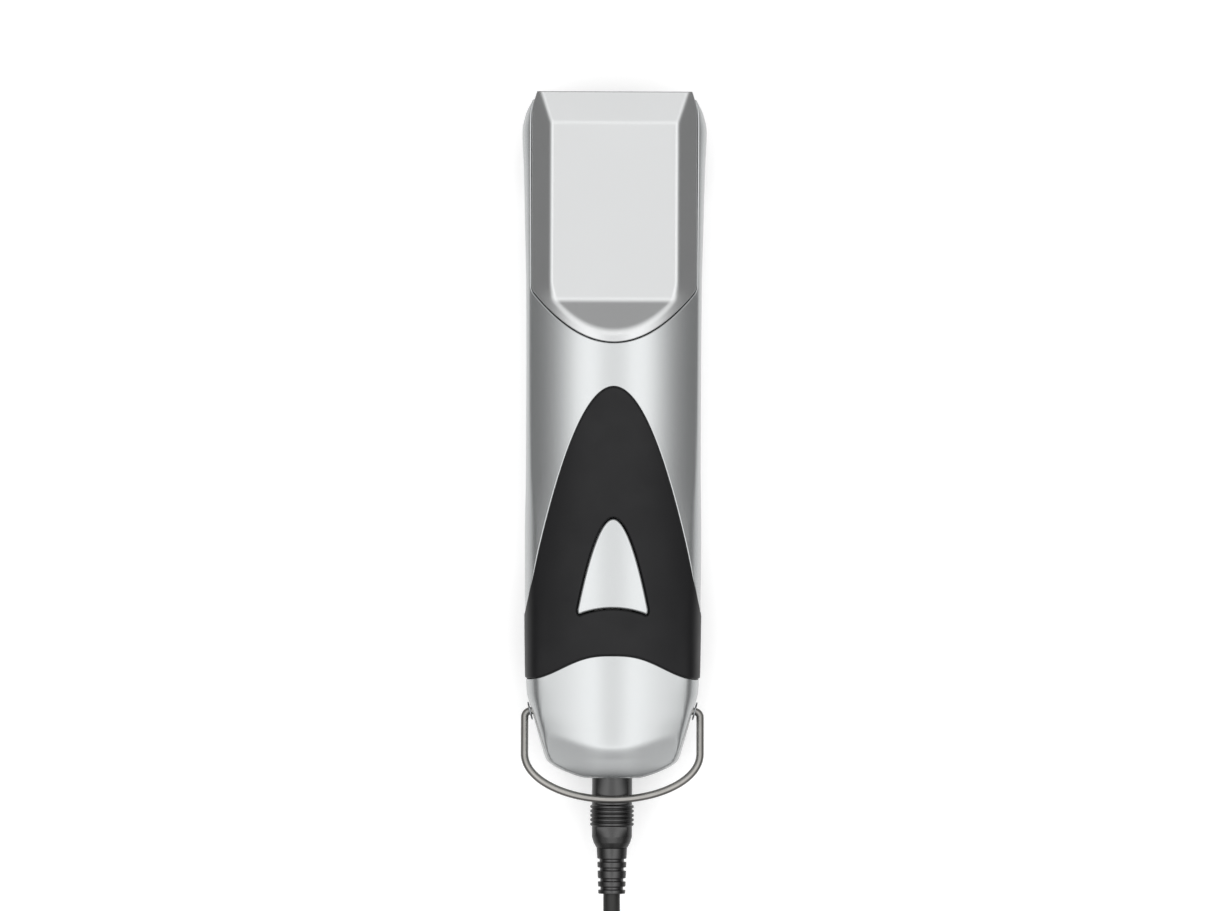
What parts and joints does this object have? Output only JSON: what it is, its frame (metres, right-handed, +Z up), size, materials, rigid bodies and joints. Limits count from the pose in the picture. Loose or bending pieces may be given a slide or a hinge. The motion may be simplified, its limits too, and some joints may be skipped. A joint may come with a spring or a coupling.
{
  "type": "electric pet clipper",
  "caption": "Slim corded hair clipper for pets: planed, faceted head plate, black soft grip, push button, wire hanging loop, hinged blade seat and low-voltage lead.",
  "frame": {"origin": "on the flat back of the grip, in the plane that the clipper lies on, 85.8 mm behind the tip of the head", "axes": "+Z up out of the face with the button, +Y along the body towards the head, X across"},
  "size_m": [0.0492, 0.4351, 0.0381],
  "materials": {
    "silver": "satin silver paint",
    "silver_rear": "satin silver paint",
    "plate": "satin",
    "rubber": "soft matte",
    "black": "fine matte",
    "cord": "smooth matte",
    "strap": "hook and loop",
    "steel": "machined",
    "steel_dark": "machined",
    "wire": "drawn stainless wire",
    "can": "zinc plate",
    "die_cast": "as cast",
    "ferrite": "sintered",
    "copper": "turned",
    "carbon": "sintered",
    "brass": "polished",
    "nylon": "moulded",
    "board": "solder mask"
  },
  "bodies": {
    "housing": {"adapter_body": "black", "adapter_pin_1": "brass", "adapter_pin_2": "brass", "adapter_strain_relief": "black", "bearing_block": "die_cast", "brush_1": "carbon", "brush_2": "carbon", "button_spring": "steel", "circuit_board": "board", "cord_connector": "black", "cord_hank": "cord", "cord_lead": "cord", "cord_strain_relief": "black", "cord_tail": "cord", "dc_socket": "black", "front_shell": "silver", "gear_axle": "steel", "grip_front": "rubber", "grip_rear": "rubber", "hank_tie": "strap", "head_cover": "plate", "hinge_bracket": "steel", "hinge_pin": "steel", "hinge_screw_1": "steel", "hinge_screw_2": "steel", "housing_screw_1": "steel", "housing_screw_2": "steel", "housing_screw_3": "steel", "housing_screw_4": "steel", "latch_spring": "steel", "lever_pin": "steel", "loop_washer_left": "steel", "loop_washer_right": "steel", "magnet_left": "ferrite", "magnet_right": "ferrite", "motor_bearing_front": "steel", "motor_bearing_rear": "steel", "motor_can": "can", "motor_endbell": "black", "rear_shell": "silver_rear", "shaft_bearing": "brass", "switch_body": "black"},
    "motor_rotor": {"worm_shaft": "steel", "armature": "steel_dark", "commutator": "copper", "cooling_fan": "black"},
    "gear": {"worm_gear": "nylon"},
    "lever": {"drive_lever": "steel_dark", "drive_tip": "nylon"},
    "link": {"drive_link": "steel_dark"},
    "button": {"power_button": "silver", "switch_plunger": "nylon"},
    "tongue": {"blade_tongue": "steel_dark"},
    "latch": {"blade_latch": "steel_dark"},
    "loop": {"hanging_loop": "wire"}
  },
  "joints": [
    {"name": "motor_spin", "type": "hinge", "parent": "housing", "child": "motor_rotor", "pos_m": [-0.0045, 0, 0.0165], "axis": [0, 1, 0], "continuous": true},
    {"name": "gear_spin", "type": "hinge", "parent": "housing", "child": "gear", "pos_m": [0.007, 0.027, 0.0165], "axis": [0, 0, 1], "continuous": true},
    {"name": "lever_swing", "type": "hinge", "parent": "housing", "child": "lever", "pos_m": [0, 0.046, 0.026], "axis": [0, 0, 1], "range_deg": [-3, 3]},
    {"name": "link_swing", "type": "hinge", "parent": "lever", "child": "link", "pos_m": [-0.008, 0.027, 0.023], "axis": [0, 0, 1], "range_deg": [-3.8, 3.8]},
    {"name": "button_press", "type": "slide", "parent": "housing", "child": "button", "axis": [0, 0, -1], "range_m": [0, 0.0015], "stiffness_N_per_m": 600, "springref_m": -0.0015, "deforming": ["button_spring"]},
    {"name": "tongue_hinge", "type": "hinge", "parent": "housing", "child": "tongue", "pos_m": [0, 0.06127, 0.0056], "axis": [-1, 0, 0], "range_deg": [0, 60]},
    {"name": "latch_slide", "type": "slide", "parent": "housing", "child": "latch", "axis": [0, -1, 0], "range_m": [0, 0.002], "stiffness_N_per_m": 400, "springref_m": -0.002, "deforming": ["latch_spring"]},
    {"name": "loop_hinge", "type": "hinge", "parent": "housing", "child": "loop", "pos_m": [0, -0.0694, 0.0185], "axis": [-1, 0, 0], "range_deg": [0, 90]}
  ],
  "couplings": [
    {"joint": "gear_spin", "follows": "motor_spin", "ratio": -0.125}
  ]
}
